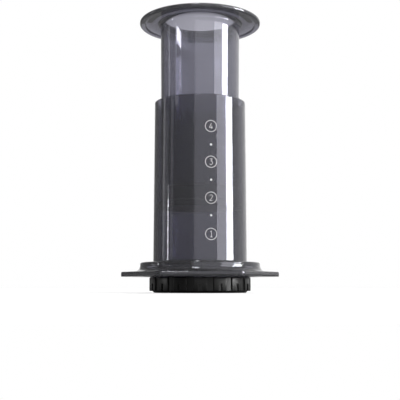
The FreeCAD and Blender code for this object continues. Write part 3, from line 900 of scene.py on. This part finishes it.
floor_sum_wires = {0: floor_shader.outputs["BSDF"], 1: floor_glow.outputs["Emission"]}
floor_sum = placed_node(floor_tree, "ShaderNodeAddShader", wires=floor_sum_wires)
floor_tree.links.new(floor_sum.outputs["Shader"], floor_output.inputs["Surface"])
floor.data.materials.append(floor_white)


# The white surround lights the press at half strength and shows white to the camera, through the
# smoke plastic and in reflections. On the left it is darker in reflections alone, as the dark side
# of a studio is, which gives the tubes their darker edge.
WHITE = (1.0, 1.0, 1.0, 1.0)
SURROUND_LIGHT = 0.5
DARK_SIDE = math.radians(-88)
DARK_SIDE_START = math.radians(76)
DARK_SIDE_FULL = math.radians(71)
DARK_SIDE_LEVEL = 0.25
FLOAT_MIX_FIRST = 2
FLOAT_MIX_SECOND = 3

surround = bpy.data.worlds.new("white surround")
bpy.context.scene.world = surround
surround.use_nodes = True
sky = surround.node_tree
sky_rays = sky.nodes.new("ShaderNodeLightPath").outputs
sky_way = sky.nodes.new("ShaderNodeTexCoord").outputs["Generated"]
level_values = {1: (1.0, 1.0, 0.0)}
sky_level = placed_node(sky, "ShaderNodeVectorMath", level_values, {0: sky_way}, "MULTIPLY")
unit_wires = {0: sky_level.outputs["Vector"]}
sky_unit = placed_node(sky, "ShaderNodeVectorMath", {}, unit_wires, "NORMALIZE")
dark_values = {1: (math.sin(DARK_SIDE), -math.cos(DARK_SIDE), 0.0)}
dark_wires = {0: sky_unit.outputs["Vector"]}
sky_side = placed_node(sky, "ShaderNodeVectorMath", dark_values, dark_wires, "DOT_PRODUCT")
shade_values = {
    "From Min": math.cos(DARK_SIDE_START),
    "From Max": math.cos(DARK_SIDE_FULL),
    "To Min": 1.0,
    "To Max": DARK_SIDE_LEVEL,
}
sky_shade = placed_node(sky, "ShaderNodeMapRange", shade_values, {"Value": sky_side.outputs["Value"]})
gloss_wires = {MIX_SHARE: sky_rays["Glossy Depth"], FLOAT_MIX_SECOND: sky_shade.outputs["Result"]}
sky_gloss = placed_node(sky, "ShaderNodeMix", {FLOAT_MIX_FIRST: 1.0}, gloss_wires)
sky_seen_wires = {"Strength": sky_gloss.outputs[0]}
sky_seen = placed_node(sky, "ShaderNodeBackground", {"Color": WHITE}, sky_seen_wires)
sky_light = sky.nodes["Background"]
sky_light.inputs["Color"].default_value = WHITE
sky_light.inputs["Strength"].default_value = SURROUND_LIGHT
sky_direct = reckoned(sky, "MAXIMUM", sky_rays["Is Camera Ray"], sky_rays["Is Glossy Ray"])
sky_shown = reckoned(sky, "MAXIMUM", sky_direct, sky_rays["Is Transmission Ray"])
sky_mix_wires = {0: sky_shown, 1: sky_light.outputs["Background"], 2: sky_seen.outputs["Background"]}
sky_mix = placed_node(sky, "ShaderNodeMixShader", wires=sky_mix_wires)
sky.links.new(sky_mix.outputs["Shader"], sky.nodes["World Output"].inputs["Surface"])


# The lamps: a large soft lamp at the front right and a faint broad one in front light the press. The
# others light nothing dull and show in the polish: a tall bright one on the right and a high one in
# front draw the white lines and glints, and narrow or short ones on the left draw the lines there.
def lamp(name, turn, distance, width, low, high, radiance, lights_all=True, lean=0.0):
    """A flat lamp that faces the press. Turn is in degrees from the camera's side towards +X, low and
    high are the heights of its lower and upper edges, and lean tips it sideways in degrees."""
    data = bpy.data.lights.new(name, "AREA")
    data.shape = "RECTANGLE"
    data.size = width
    data.size_y = high - low
    data.energy = radiance * math.pi * width * (high - low)
    made = bpy.data.objects.new(name, data)
    angle = math.radians(turn)
    made.location = (distance * math.sin(angle), -distance * math.cos(angle), (low + high) / 2)
    made.rotation_euler = (math.pi / 2, math.radians(lean), angle)
    made.visible_camera = False
    made.visible_diffuse = lights_all
    bpy.context.scene.collection.objects.link(made)


lamp("right soft lamp", 55.0, 1.3, 0.64, -0.1, 1.1, 3.7)
lamp("front broad lamp", 13.0, 1.4, 1.35, -0.2, 1.1, 0.3)
lamp("right line lamp", 77.2, 1.2, 0.42, 0.06, 0.76, 22.0, lights_all=False)
lamp("front top lamp", -12.0, 0.6, 0.2, 0.8, 2.8, 12.0, lights_all=False)
lamp("left upper lamp", -63.2, 1.2, 0.31, 0.502, 0.536, 14.0, lights_all=False, lean=4.0)
lamp("left middle lamp", -59.3, 1.2, 0.21, 0.4, 0.476, 1.1, lights_all=False)
lamp("left second lamp", -72.8, 1.2, 0.155, 0.03, 0.6, 0.6, lights_all=False)
lamp("left wide lamp", -91.3, 1.2, 0.24, 0.07, 0.39, 0.42, lights_all=False)
lamp("left thin lamp", -83.8, 1.2, 0.052, 0.03, 0.2, 18.0, lights_all=False)
lamp("left thin top lamp", -83.8, 1.2, 0.052, 0.2, 0.23, 4.0, lights_all=False)
lamp("left edge lamp", -100.3, 1.2, 0.125, 0.07, 0.8, 1.3, lights_all=False)


# The camera stands in front, as low as the filter cap, and looks up a little. Its lens and its small
# shift give the photograph's perspective and framing, worked out from the round edges that show.
PICTURE_SIDE = 400.0
FOCAL_PIXELS = 827.0
SHIFT_PIXELS = 20.5
SENSOR_WIDTH = 36.0
CAMERA_DISTANCE = 0.5724
CAMERA_HEIGHT = 0.00425
CAMERA_TILT = 4.563

camera_data = bpy.data.cameras.new("camera")
camera_data.sensor_width = SENSOR_WIDTH
camera_data.lens = SENSOR_WIDTH * FOCAL_PIXELS / PICTURE_SIDE
camera_data.shift_y = SHIFT_PIXELS / PICTURE_SIDE
camera = bpy.data.objects.new("camera", camera_data)
camera.location = (0.0, -CAMERA_DISTANCE, CAMERA_HEIGHT)
camera.rotation_euler = (math.radians(90.0 + CAMERA_TILT), 0.0, 0.0)
bpy.context.scene.collection.objects.link(camera)
bpy.context.scene.camera = camera
bpy.context.scene.view_settings.view_transform = "Standard"

# Light crosses eight smoke surfaces on its way through both tubes, and more in the flanges.
bpy.context.scene.cycles.max_bounces = 24
bpy.context.scene.cycles.transmission_bounces = 20
bpy.context.scene.cycles.glossy_bounces = 8
